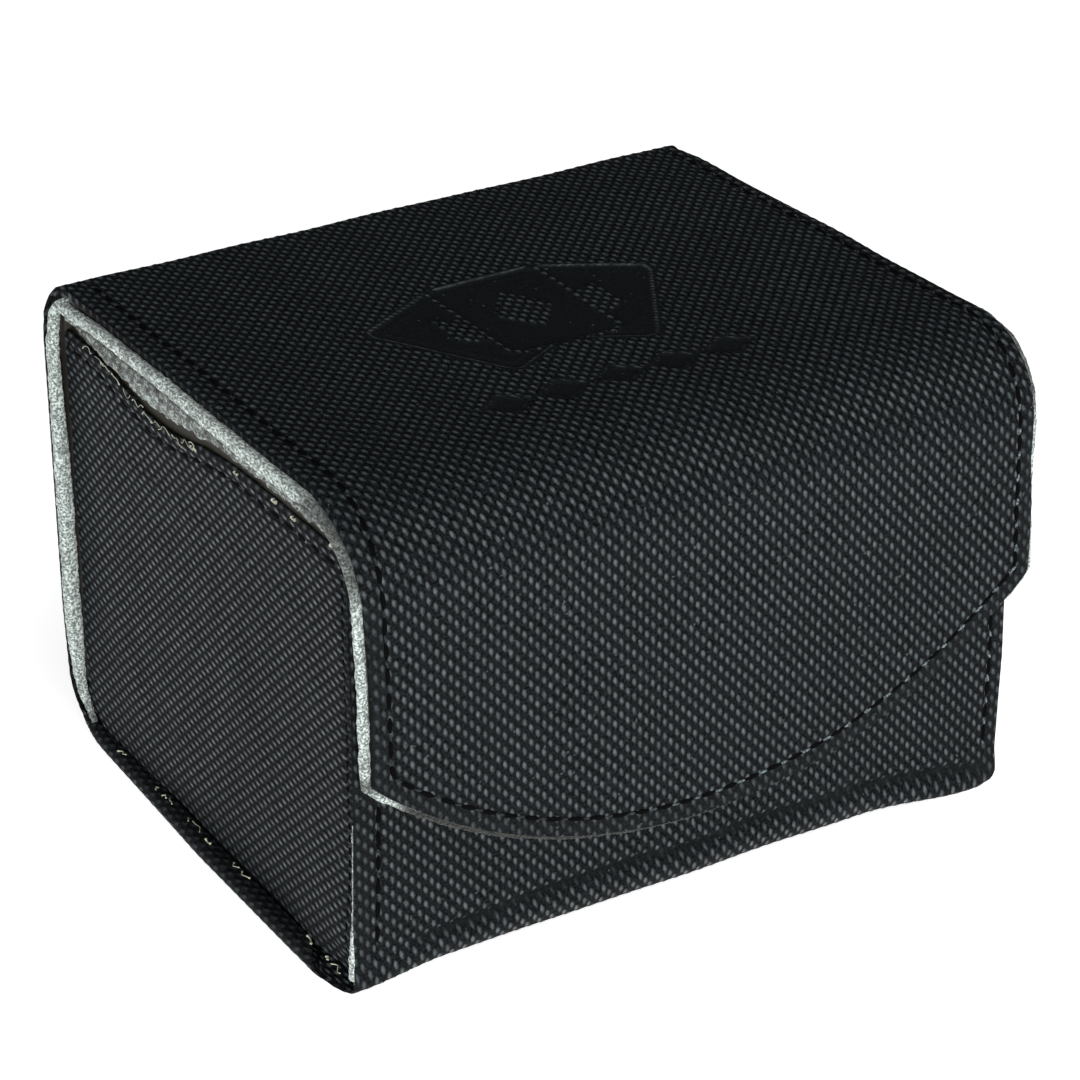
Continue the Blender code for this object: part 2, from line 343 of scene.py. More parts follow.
case_path = run(
    ("line", (-41.05, 68.5), (-41.05, 5.0), (-1, 0)),
    ("arc", (-36.05, 5.0), (5.0, 5.0), (180, 270)),
    ("line", (-36.05, 0.0), (38.35, 0.0), (0, -1)),
    ("arc", (38.35, 9.0), (9.0, 9.0), (270, 360)),
    ("line", (47.35, 9.0), (47.35, 70.5), (1, 0)),
    ("arc", (43.35, 70.5), (4.0, 4.0), (0, 90)),
    ("line", (43.35, 74.5), (43.05, 74.5), (0, 1)),
)
CASE_LENGTH = case_path[0][-1]
BASE_START = 71.35
FRONT_LEFT_INSET = 3.8
SEAM_INSET = 2.5

# Half widths of the strip, by length down it: the left cut, then the right.
left_cut = ((0, 52.5), (22, 52.4), (40, 52.6), (54, 53.0), (62, 53.4), (65, 53.4),
            (67, 53.6), (70, 54.8), (74, 55.7), (80, 56.0),
            (93, 56.0), (109, 56.0), (127, 55.4), (143, 54.9), (153, 54.3), (160, 54.8),
            (172, 55.2), (217, 55.2), (221, 54.8), (224, 53.9), (228, 53.0))
right_cut = ((0, 55.5), (37, 56.5), (47, 56.7), (55, 56.5), (60, 56.4), (63, 56.3), (66, 56.1),
             (68, 55.5), (70, 54.9), (73, 54.6), (82, 55.2), (100, 55.8), (140, 55.0), (153, 54.4),
             (160, 54.8), (172, 55.0), (216, 55.0), (221, 54.0), (224, 53.2), (228, 53.2))


def cut_at(cut, s):
    return np.interp(s, [place for place, half in cut], [half for place, half in cut])


def case_edge(x, s):
    """The strip's half width on the side that x is on."""
    return np.where(x < 0, cut_at(left_cut, s), cut_at(right_cut, s))


def base_fold(s):
    """1 where the strip's sides roll up over the base board, 0 elsewhere, and the radius."""
    fold = rise(s, 71.5, 80) * (1 - rise(s, 146, 156))
    return fold, 0.3 + 0.85 * fold


def on_case(x, s, depth):
    """A point of the case cover: x across, s down the strip, depth under its face.
    Past the edge the base's cover rolls up and over."""
    y, z, ny, nz = along(case_path, s)
    edge = case_edge(x, s)
    radius = base_fold(s)[1]
    side = np.sign(x)
    past = np.maximum(np.abs(x) - (edge - radius), 0)
    turn = np.minimum(past / radius, math.pi)
    back = np.maximum(past - math.pi * radius, 0)
    reach = np.minimum(np.abs(x), edge - radius) + (radius - depth) * np.sin(turn)
    reach = reach - back
    lift = radius - (radius - depth) * np.cos(turn)
    swell = 0.12 * uneven(x, s, 37.0) * rise(edge - np.abs(x), 0.5, 9)
    # The foot of the front wall stands out, most at its two corners.
    corner = 1.1 * rise(-x, 38, 52) + 1.3 * rise(x, 32, 50)
    foot = (0.55 + corner) * np.exp(-((s - 67.1) / 2.3) ** 2)
    push = swell - lift + foot
    floor_gap = 0.02
    return np.stack([side * reach, y + ny * push, np.maximum(z + nz * push, floor_gap)], axis=-1)


def case_surface(a, b, depth):
    s = (b + 1) * 0.5 * CASE_LENGTH
    edge = case_edge(a, s)
    fold, radius = base_fold(s)
    x = a * (edge - radius + (1 - fold) * 0.5 * math.pi * radius
             + fold * (math.pi * radius + 1.6))
    rim = np.abs(x) - edge
    # Pressed smooth: the margin outside the seams, the cut edges and the top. Along the crease the
    # press paints a dark line: painted shade.
    press_and_painted_light = 0.35 * rise(rim, -2.9, -2.3) * (1 - fold)
    press_and_painted_light = np.maximum(press_and_painted_light, 0.45 * rise(rim, -0.6, 0.4))
    press_and_painted_light = press_and_painted_light * (1 - rise(s, 214, 222))
    press_and_painted_light = np.maximum(press_and_painted_light, 0.8 * (1 - rise(s, 0, 1.5)))
    crease = 61.6 + 2.2 * (np.abs(x + 2) / 50) ** 4 + 0.4 * uneven(x, 0 * s, 31.0)
    reach = rise(x, -50, -38) * rise(rim, 0, -3)
    # Painted shade: a dark line along the front wall's crease, carried in press_and_painted_light.
    press_and_painted_light = np.maximum(press_and_painted_light, 0.85 * np.exp(-((s - crease) / 0.75) ** 2) * reach)
    high = 0.19 * (1 + 0.2 * uneven(x, s, 6.3)) * (1 - press_and_painted_light) * (depth == 0)
    points = on_case(x, s, depth)
    if depth == 0:
        inset = np.where((x < 0) & (s < 70), FRONT_LEFT_INSET, SEAM_INSET)
        groove = 0.30 * np.exp(-((rim + inset) / 0.45) ** 2)
        groove = groove * ((s < 63.5) | ((s > 161) & (s < 219)))
        # A crease across the front wall's foot, with a soft roll on either side of it.
        groove = groove + 0.62 * np.exp(-((s - crease) / 0.6) ** 2) * reach
        groove = groove - 0.50 * np.exp(-((s - crease - 2.4) / 1.5) ** 2) * reach
        groove = groove - 0.25 * np.exp(-((s - crease + 2.2) / 1.6) ** 2) * reach
        points = on_case(x, s, groove - high * (emboss(x, s) - 0.5))
    return points, np.stack([x, s, press_and_painted_light], axis=-1)


def pip_height(across, down):
    """The same pips as emboss, in a material. Both places are in turns of the pattern."""
    return (
        0.5
        + 0.32 * across.sum("COSINE", across) * across.sum("COSINE", down)
        + 0.18 * across.sum("COSINE", across * 2.0)
    )


def carried(start, part):
    """A number that a sheet's points carry: 0 across, 1 along, 2 press_and_painted_light or
    soil_and_shade.
    """
    strip = start.node("ShaderNodeAttribute", {"attribute_name": "strip"}, {}, 1)
    return start.node("ShaderNodeSeparateXYZ", {}, {"Vector": strip}, part)


def embossed_skin(start):
    turn = carried(start, 0) * (2 * math.pi / PIP_ACROSS)
    row = carried(start, 1) * (2 * math.pi / PIP_ALONG)
    press_and_painted_light = carried(start, 2)
    pips = pip_height(turn, row)
    # Painted highlight: a copy of the pips shifted up and to the left; its tops are painted pale
    # below, as if each pip caught the light there.
    lit = pip_height(turn + 0.62, row + 0.66)
    smooth = press_and_painted_light.step(0.0, 1.0)
    bare = 1 - smooth
    grain = start.noise(2900.0, 3.0)
    cloud = start.noise(55.0, 3.0)
    glint = start.noise(760.0, 1.0).step(0.30, 0.72)
    speck = grain.step(0.34, 0.66)
    crown = pips.step(0.46, 0.96) * bare
    shine = lit.step(0.62, 0.98) * bare * (0.35 + 0.65 * glint)
    lint = start.noise(1300.0, 0.0).step(0.845, 0.86) * 0.4
    # Painted highlight: where press_and_painted_light is over 1, on the emblem's outlines, a pale
    # glinting line is painted into the colour.
    edge_shine = press_and_painted_light.step(1.1, 1.6) * (0.3 + 0.7 * glint)
    # Painted shade: the valleys between the pips get a near-black colour and the crowns a lighter
    # one, so the hollows look shaded.
    tint = speck.blend((0.0006, 0.0007, 0.0008, 1), (0.0105, 0.0128, 0.0142, 1))
    body = speck.blend((0.012, 0.015, 0.0168, 1), (0.046, 0.058, 0.064, 1))
    tint = crown.blend(tint, body)
    # Painted highlight on each pip, broken up by the glint noise.
    tint = shine.blend(tint, (0.082, 0.098, 0.106, 1))
    tint = (smooth * 0.6).blend(tint, (0.0085, 0.0104, 0.0112, 1))
    tint = edge_shine.blend(tint, (0.085, 0.10, 0.105, 1))
    tint = lint.blend(tint, (0.12, 0.14, 0.14, 1))
    rough = 0.74 - crown * 0.22 - shine * 0.1 - smooth * 0.1 + (cloud - 0.5) * 0.14
    height = pips.step(0.26, 1.0) * bare + grain * 0.30 + cloud * 0.2
    return {
        "Base Color": tint,
        "Roughness": rough + (grain - 0.5) * 0.2,
        "Specular IOR Level": 0.06,
        "Coat Weight": crown * 0.30 + shine * 0.5,
        "Coat Roughness": 0.36,
        "Normal": height.bump(1.0, 0.00034),
    }


skin = finish_of("black_skin", embossed_skin)

case_cover = closed_sheet("case_cover", skin, 216, 404, case_surface, SKIN, (28, 60))
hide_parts("wrap_skin", "hinge_skin")
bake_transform(case_cover)

# ------------------------------
# Side panels: the same skin, turned a quarter, glued over the side boards. At the front
# they come out flush with the front wall, and at the back they sit in 2 mm.


PANEL_FRONT = -40.3
PANEL_LENGTH = 84.35
SIDE_FACE = 53.0
RIM_SEAM_DROP = 2.3
CORNER_SEAM_Y = -39.2


def side_reach(side, y, z):
    """How far out a side panel's face is."""
    lean = rise(44 - y, 0, 82)
    flush = rise(-y, 14, 40)
    lift = 0.35 + 0.65 * rise(z, 2, 26)
    if side < 0:
        reach = SIDE_FACE - 0.45 * lean * lift + 0.95 * flush * (1 - rise(z, 2, 24))
        tuck = 1.2
    else:
        reach = SIDE_FACE + 1.0 * lean * lift + 1.9 * flush
        tuck = 1.0
    reach = reach - tuck * rise(-y, 30, 40) * (1 - rise(z, 3, 8))
    # A faint ridge runs along the wall, some way under the rim.
    ridge = 0.16 * np.exp(-((z - 53.5 - 0.02 * y) / 1.3) ** 2) * rise(y, -36, -20)
    swell = 0.10 * uneven(y, z, 26.0)
    return reach + ridge + swell


def side_floor(y):
    """The side skin's lower edge follows the base cover round its two bends."""
    behind = np.clip(y - 38.35, 0, 6.5)
    ahead = np.clip(-36.05 - y, 0, 4.3)
    back_bend = 9.4 - np.sqrt(6.7 ** 2 - behind ** 2)
    front_bend = 5.2 - np.sqrt(4.6 ** 2 - ahead ** 2)
    return np.maximum(back_bend, front_bend)


def side_top(y):
    """The side skin's upper edge sags where it is glued under the folded lining."""
    return 67.5 - 3.2 * np.exp(-((y - 15) / 15) ** 2) + 0.12 * uneven(y, 0 * y, 9.0)


for side, word in ((-1, "left"), (1, "right")):

    def side_surface(a, b, depth, side=side):
        y = PANEL_FRONT + (a + 1) * 0.5 * PANEL_LENGTH
        low = side_floor(y)
        top = side_top(y)
        z = low + (b + 1) * 0.5 * (top - low)
        rim = np.minimum(top - z, y - PANEL_FRONT)
        press_and_painted_light = 0.5 * (1 - rise(rim, 0.3, 1.2))
        reach = side_reach(side, y, z) - depth
        if depth == 0:
            high = 0.18 * (1 + 0.2 * uneven(z, y, 6.3)) * (1 - press_and_painted_light)
            reach = reach + high * (emboss(z, y) - 0.5)
            reach = reach - 0.28 * np.exp(-((top - z - RIM_SEAM_DROP) / 0.45) ** 2)
            reach = reach - 0.25 * np.exp(-((y - CORNER_SEAM_Y) / 0.42) ** 2)
            reach = reach - 0.35 * (1 - rise(rim, 0.0, 0.7))
        return (np.stack([side * reach, y, z], axis=-1),
                np.stack([z, y, press_and_painted_light], axis=-1))

    panel = closed_sheet(f"side_cover_{word}", skin, 150, 127, side_surface, SKIN, (24, 20))
    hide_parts(f"{word}_side_skin")
    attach(panel, "case")

# ------------------------------
# Lid and flap cover: the strip goes on over the lid board, round the soft bend and down
# the flap, where it is cut to a shallow arc. A fan of three cards over a row of lozenges
# is pressed into the lid.

FLAP_TOP = 62.5
FLAP_LENGTH = 46.6
lid_path = run(
    ("line", (43.05, 74.5), (-30.85, 74.5), (0, 1)),
    ("arc", (-30.85, FLAP_TOP), (16.5, 12.0), (90, 180)),
    ("line", (-47.35, FLAP_TOP), (-47.35, 15.9), (-1, 0)),
)
FLAP_START = np.interp(FLAP_TOP, lid_path[1][::-1, 1], lid_path[0][::-1])
ARC_X = -0.3
ARC_Z = 94.1
ARC_RADIUS = 78.2
CARD_HALF_WIDTH = 7.0
CARD_HALF_HEIGHT = 10.6
CARD_CORNER = 2.0
FAN_ROW = 61.0
LOZENGE_ROW = 67.0
LOZENGE_PITCH = 9.0

# Half widths of the lid and flap, by length from the hinge: the left cut, then the right.
lid_left = ((0, 53.0), (8, 52.8), (74, 52.8), (92, 53.2), (110, 52.8), (124, 52.6), (144, 52.6))
lid_right = ((0, 53.2), (4, 53.9), (11, 54.4), (22, 54.6), (45, 55.3), (70, 55.5),
             (82, 55.8), (88, 55.4), (94, 54.9), (108, 54.8), (122, 55.3), (144, 55.3))


def lid_half_width(x, s):
    """The lid and flap's half width on the side that x is on."""
    return np.where(x < 0, cut_at(lid_left, s), cut_at(lid_right, s))


def on_lid(x, s, depth):
    """A point of the lid and flap's cover, depth mm under its face."""
    y, z, ny, nz = along(lid_path, s)
    push = 0.16 * uneven(x, s, 43.0) * rise(s, 0, 8) - depth
    # The bend bulges at its right end, and the cut edges dip.
    push = push + 0.45 * rise(x, 10, 52) * rise(s, 40, 78) * (1 - rise(s, 82, 98))
    push = push - 0.35 * (1 - rise(lid_half_width(x, s) - np.abs(x), 0.0, 0.8))
    return np.stack([x + 0 * s, y + ny * push, z + nz * push], axis=-1)


def flap_cut(x, radius=ARC_RADIUS):
    """How far down the strip the flap's arc lies, or one of another radius round it."""
    return FLAP_START + FLAP_TOP - (ARC_Z - np.sqrt(radius ** 2 - (x - ARC_X) ** 2))


def lid_spot(a, b, trim=0.0):
    """Where a sheet's own corner-to-corner place (-1 to 1) lies on the lid and flap."""
    s = (b + 1) * 0.5 * (FLAP_START + FLAP_LENGTH)
    x = a * (lid_half_width(a, s) - trim)
    down = (s - FLAP_START) / FLAP_LENGTH
    s = np.where(down > 0, FLAP_START + down * (flap_cut(x) - trim - FLAP_START), s)
    return x, s


def rim_of_lid(x, s):
    """How far inside the cut edges a spot is."""
    sides = lid_half_width(x, s) - np.abs(x)
    height = FLAP_TOP - (s - FLAP_START)
    arc = ARC_RADIUS - np.hypot(x - ARC_X, height - ARC_Z)
    return np.minimum(sides, np.where(s > FLAP_START, arc, np.inf))


def seam_inset(x, s):
    """How far inside its edge the lid's seam runs."""
    on_flap = rise(s, 74, 96)
    return np.where(x < 0, 3.8 - 1.2 * on_flap, 2.4 + 0.2 * on_flap)


def card_fan(x, s):
    """The pressed mark: where the skin is pressed smooth, and the raised card outlines, which the
    skin material also paints with a highlight.
    """
    mark = 0.0 * x
    outline = 0.0 * x
    free = 1.0 + 0.0 * x
    for turn in (0.0, -30.0, 30.0):
        c = math.cos(math.radians(turn))
        d = math.sin(math.radians(turn))
        across = x * c + (s - FAN_ROW) * d
        down = -x * d + (s - FAN_ROW) * c + 20.0
        wide = np.abs(across) - CARD_HALF_WIDTH
        tall = np.abs(down) - CARD_HALF_HEIGHT
        over = np.hypot(np.maximum(wide, 0), np.maximum(tall, 0)) - CARD_CORNER
        over = over + np.minimum(np.maximum(wide, tall), 0)
        gem = rise(np.abs(across) / 4.6 + np.abs(down) / 6.6, 0.96, 1.06)
        inside = 1 - rise(over, -0.5, 0.1)
        mark = np.maximum(mark, inside * gem * free)
        outline = outline * rise(over, 0.0, 0.6)
        edge = np.exp(-(over / 0.52) ** 2) + 0.8 * np.exp(-((over + 1.9) / 0.42) ** 2)
        outline = np.maximum(outline, np.clip(edge, 0, 1) * free)
        free = free * rise(over, 0.5, 0.9)
    for place in range(-2, 3):
        gem = np.abs(x - LOZENGE_PITCH * place) / 3.8 + np.abs(s - LOZENGE_ROW) / 3.1
        mark = np.maximum(mark, 1 - rise(gem, 0.88, 1.04))
        outline = np.maximum(outline, 0.9 * np.exp(-((gem - 1.0) / 0.15) ** 2))
    return mark, outline


def lid_surface(a, b, depth):
    x, s = lid_spot(a, b)
    rim = rim_of_lid(x, s)
    seam = seam_inset(x, s)
    margin = (0.15 + 0.3 * rise(s, 90, 100)) * (1 - rise(rim, seam - 0.5, seam + 0.1))
    mark, outline = card_fan(x, s)
    # Outlines get press over 1: the skin paints a highlight there.
    press_and_painted_light = np.maximum(margin, np.maximum(mark, 1.6 * outline))
    press_and_painted_light = press_and_painted_light * rise(s, 0, 3)
    deep = depth + 0.0 * x
    if depth == 0:
        stretch = 1 - 0.35 * rise(s, 74, 82) * (1 - rise(s, 92, 100))
        high = 0.19 * (1 + 0.2 * uneven(x, s, 6.3)) * np.clip(1 - press_and_painted_light, 0, 1) * stretch
        deep = deep - high * (emboss(x, s + CASE_LENGTH) - 0.5)
        deep = deep + 0.24 * mark - 0.11 * outline
        deep = deep + 0.30 * np.exp(-((rim - seam) / 0.45) ** 2)
    return on_lid(x, s, deep), np.stack([x, s + CASE_LENGTH, press_and_painted_light], axis=-1)


lid_cover = closed_sheet("lid_cover", skin, 214, 252, lid_surface, SKIN, (28, 40))
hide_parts("lid_skin", "bend_skin", "flap_skin")
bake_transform(lid_cover)

# ------------------------------
# Boards: grey bookbinder's board in every wall. The side walls' boards are coloured darker,
# painted shade for the gap where they show. The front, base and back boards are trimmed to
# the case's outline, the others fit as they are.


def grey_board(start):
    fibre = start.noise(700.0, 4.0, (1.0, 1.0, 4.0))
    cloud = start.noise(90.0, 2.0)
    tint = fibre.blend((0.020, 0.019, 0.016, 1), (0.060, 0.056, 0.047, 1))
    tint = (cloud.step(0.55, 0.75) * 0.4).blend(tint, (0.016, 0.015, 0.013, 1))
    return {
        "Base Color": tint,
        "Roughness": 0.86 + (fibre - 0.5) * 0.1,
        "Specular IOR Level": 0.25,
        "Normal": fibre.bump(0.5, 0.0001),
    }


def give_finish(material, *nodes):
    """A CAD part keeps its shape and gets this material alone."""
    for node in nodes:
        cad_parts[node].data.materials.clear()
        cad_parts[node].data.materials.append(material)


board = finish_of("grey_board", grey_board)
give_finish(board, "lid_board", "flap_board")


# Painted shade: the side boards show only in the shaded gap under the folded lining, and are
# coloured near black for it.
def shade_dark_board(start):
    fibre = start.noise(700.0, 4.0, (1.0, 1.0, 4.0))
    tint = fibre.blend((0.006, 0.005, 0.003, 1), (0.024, 0.019, 0.011, 1))
    return {
        "Base Color": tint,
        "Roughness": 0.6 + (fibre - 0.5) * 0.3,
        "Specular IOR Level": 0.25,
    }


give_finish(finish_of("shade_dark_board", shade_dark_board), "left_side_board", "right_side_board")


def trimmed_front(x, y, z):
    return 1.75 + x * 0.974, y, z


def trimmed_base(x, y, z):
    edge = case_edge(x, BASE_START + y + 36.05) - 3.8
    return x / 55.0 * edge, y, z


def trimmed_back(x, y, z):
    return x * 0.962, y, z


for node, trim in (("front_board", trimmed_front), ("base_board", trimmed_base),
                   ("back_board", trimmed_back)):
    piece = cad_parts[node].copy()
    piece.data = piece.data.copy()
    piece.name = f"{node}_trimmed"
    piece.data.name = piece.name
    for key in list(piece.keys()):
        del piece[key]
    piece.parent = None
    bpy.context.scene.collection.objects.link(piece)
    work = bmesh.new()
    work.from_mesh(piece.data)
    bmesh.ops.remove_doubles(work, verts=work.verts, dist=0.00001)
    bmesh.ops.dissolve_limit(work, angle_limit=0.01, verts=work.verts, edges=work.edges)
    bmesh.ops.triangulate(work, faces=work.faces)
    bmesh.ops.subdivide_edges(work, edges=[e for e in work.edges if e.calc_length() > 0.012],
                              cuts=3, use_grid_fill=True)
    bmesh.ops.triangulate(work, faces=work.faces)
    for vert in work.verts:
        x, y, z = trim(*(vert.co * 1000))
        vert.co = Vector((float(x), float(y), float(z))) * 0.001
    bmesh.ops.recalc_face_normals(work, faces=work.faces)
    work.to_mesh(piece.data)
    work.free()
    piece.data.materials.clear()
    piece.data.materials.append(board)
    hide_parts(node)
    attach(piece, "case")

# ------------------------------
# Magnets: four nickel-plated discs let into the front board and the flap board, out of
# sight under the skin and the lining.


def nickel(start):
    scratch = start.noise(1800.0, 3.0, (1.0, 1.0, 0.1))
    return {
        "Base Color": scratch.blend((0.55, 0.54, 0.52, 1), (0.72, 0.71, 0.69, 1)),
        "Metallic": 1.0,
        "Roughness": 0.22 + scratch * 0.15,
    }


give_finish(finish_of("nickel", nickel), "front_magnet_left", "front_magnet_right",
            "flap_magnet_left", "flap_magnet_right")
MAGNET_X = 28
MAGNET_Z = 33
MAGNET_RIM = 6.3


def magnet_ring(x, z, spot):
    """The ring that a magnet prints through the lining, 1 along its rim."""
    ring = np.hypot(x - spot, z - MAGNET_Z) - MAGNET_RIM
    return np.exp(-(ring / 0.8) ** 2)


# ------------------------------
# Linings: pale grey microfibre, 0.7 mm thick, glued over every inner face. The side walls'
# lining is folded over their top edges, and shows outside as a narrow mottled band.


def microfibre(start):
    soil_and_shade = carried(start, 2)
    nap = start.noise(3100.0, 4.0, (1.0, 0.5, 1.0)).step(0.36, 0.64)
    patch = start.noise(260.0, 4.0)
    lint = start.noise(4200.0, 1.0)
    tint = nap.blend((0.13, 0.155, 0.145, 1), (0.68, 0.76, 0.72, 1))
    tint = (patch.step(0.50, 0.70) * 0.55).blend(tint, (0.11, 0.125, 0.115, 1))
    # Soil and painted shade: the lining darkens towards near black where soil_and_shade is high.
    tint = soil_and_shade.blend(tint, (0.012, 0.012, 0.010, 1))
    height = nap * 0.8 + lint * 0.5 + patch * 0.6
    return {
        "Base Color": tint,
        "Roughness": 0.95 - nap * 0.05,
        "Specular IOR Level": 0.15,
        "Sheen Weight": 0.15,
        "Sheen Roughness": 0.5,
        "Normal": height.bump(0.8, 0.00022),
    }


lining = finish_of("grey_microfibre", microfibre)
NAP = 0.65
TRAY_HALF_WIDTH = 49.1
tray_path = run(
    ("line", (-38.05, 68.5), (-38.05, 3.6), (1, 0)),
    ("line", (-37.05, 3.3), (42.35, 3.3), (0, 1)),
    ("line", (43.35, 4.3), (43.35, 69.6), (-1, 0)),
    ("line", (43.9, 70.3), (44.9, 70.45), (0, 1)),
    ("bend", (43.35, 70.5), (2.2, 2.2), (8, 90)),
    ("line", (43.3, 72.7), (43.1, 72.7), (0, -1)),
)
TRAY_LENGTH = tray_path[0][-1]


def tray_surface(a, b, depth):
    s = (b + 1) * 0.5 * TRAY_LENGTH
    y, z, ny, nz = along(tray_path, s)
    size = np.maximum(np.hypot(ny, nz), 0.3)
    flat_x = a * 49
    high = 0.12 * uneven(flat_x, s, 19.0) * rise(1 - np.abs(a), 0, 0.1) * (depth == 0)
    high = high * rise(s, 0, 6) * (1 - rise(s, TRAY_LENGTH - 12, TRAY_LENGTH - 8))
    # Small tucks across the hinge.
    high = high - 0.08 * np.cos(s * 7.0) * rise(s, TRAY_LENGTH - 4.4, TRAY_LENGTH - 3.6)
    for spot in (-MAGNET_X, MAGNET_X):
        high = high - 0.1 * magnet_ring(flat_x, z, spot) * (s < 60) * (depth == 0)
    push = high - depth
    wider = rise(s, TRAY_LENGTH - 8, TRAY_LENGTH - 5)
    x = a * (TRAY_HALF_WIDTH + wider * np.where(a < 0, 3.2, 5.2)) + 0.6 * rise(-y, -40, 38)
    points = np.stack([x, y + ny / size * push, z + nz / size * push], axis=-1)
    return points, np.stack([x, s, 0 * s], axis=-1)


tray_lining = closed_sheet("tray_lining", lining, 98, 240, tray_surface, NAP, (16, 60))
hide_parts("front_lining", "base_lining", "back_lining", "hinge_lining")
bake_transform(tray_lining)

side_lining_path = run(
    ("line", (-49.3, 2.7), (-49.3, 69.2), (1, 0)),
    ("arc", (-51.15, 69.2), (1.85, 1.7), (0, 180)),
    ("line", (-53.0, 69.2), (-53.05, 65.3), (-1, 0)),
)
SIDE_LINING_LENGTH = side_lining_path[0][-1]
FOLD_TOP = 69.2
FOLD_FOOT = 72.07
for side, word in ((-1, "left"), (1, "right")):

    def side_lining_surface(a, b, depth, side=side):
        y = -38.0 + (a + 1) * 0.5 * 82.0
        s = (b + 1) * 0.5 * SIDE_LINING_LENGTH
        foot = 68.9 - 2.3 * np.exp(-((y - 16) / 15) ** 2) + 0.6 * rise(y, 36, 41)
        foot = foot - 0.25 * uneven(y, 0 * y, 6.0) - 0.15 * uneven(y, 0 * y + 3, 2.3)
        longer = (FOLD_TOP - foot) / 3.9
        s = np.where(s > FOLD_FOOT, FOLD_FOOT + (s - FOLD_FOOT) * longer, s)
        x, z, nx, nz = along(side_lining_path, s)
        floor_z = np.where(s < 30, side_floor(y) + 0.5 - 2.3, 0)
        z = z + np.maximum(floor_z, 0) * (1 - rise(s, 0, 30))
        outside = rise(s, 66, 73)
        high = (0.10 * uneven(y, s, 17.0) + 0.16 * outside * uneven(y, s, 2.9)) * (depth == 0)
        push = high - depth
        x = x - outside * (side_reach(side, y, 0 * y + 68.0) - SIDE_FACE)
        points = np.stack([-side * (x + nx * push), y, z + nz * push], axis=-1)
        # Blotches and a streak of soil on the outside fold, which also darkens towards the back.
        # The dark line along its top is painted shade, with some glue, under the lid's edge.
        blotch = rise(uneven(y, s, 3.7) + 0.7 * uneven(y + 5, 2 * s, 1.9), -0.15, 0.45)
        streak = np.exp(-((s - 72.3 - 0.4 * uneven(y, 0 * y, 7.0)) / 0.45) ** 2)
        soil_and_shade = outside * (0.10 + 0.22 * rise(y, -20, 30) + 0.5 * blotch + 0.5 * streak)
        # Painted shade under the lid's edge.
        soil_and_shade = soil_and_shade + 0.85 * rise(s, 70.0, 70.5) * (1 - rise(s, 71.3, 71.8))
        return points, np.stack([y, s, np.clip(soil_and_shade, 0, 0.9)], axis=-1)

    piece = closed_sheet(
        f"side_lining_{word}", lining, 150, 110, side_lining_surface, NAP, (30, 40)
    )
    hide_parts(f"{word}_side_lining")
    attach(piece, "case")


def lid_lining_surface(a, b, depth):
    x, s = lid_spot(a, b, 0.45)
    below = 2.6 - 1.5 * rise(s, 71, 75) + 1.9 * rise(s, 94, 98.5)
    high = 0.10 * uneven(x, s, 23.0) * (depth == 0)
    tucks = 0.12 * np.sin(s * 2.1) * rise(s, 73, 77) * (1 - rise(s, 92, 96)) * (depth == 0)
    face = below + 0.7 + high + tucks
    up = 1.6 * (1 - rise(s, 0, 1.6))
    points = on_lid(x, s, face - depth - up)
    for spot in (-MAGNET_X, MAGNET_X):
        near = (s > FLAP_START) & (depth == 0)
        points[:, 1] -= 0.1 * magnet_ring(x, points[:, 2], spot) * near
    # Painted shade: the lining darkens within 1.6 mm of its cut edges, in the gap between skin and
    # lining.
    soil_and_shade = 0.85 * (1 - rise(rim_of_lid(x, s), 0.6, 1.6))
    return points, np.stack([x, s, soil_and_shade], axis=-1)


lid_lining = closed_sheet(
    "lid_flap_lining", lining, 108, 144, lid_lining_surface, NAP, (20, 36)
)
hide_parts("lid_lining", "bend_lining", "flap_lining")
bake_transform(lid_lining)

# ------------------------------
# Raw edges: where the panels are cut, the microfibre and board show between the skins as a
# pale fuzzy edge. It swells a little past the skin, and is frayed.


def unit(rows):
    return rows / np.linalg.norm(rows, axis=1)[:, None]


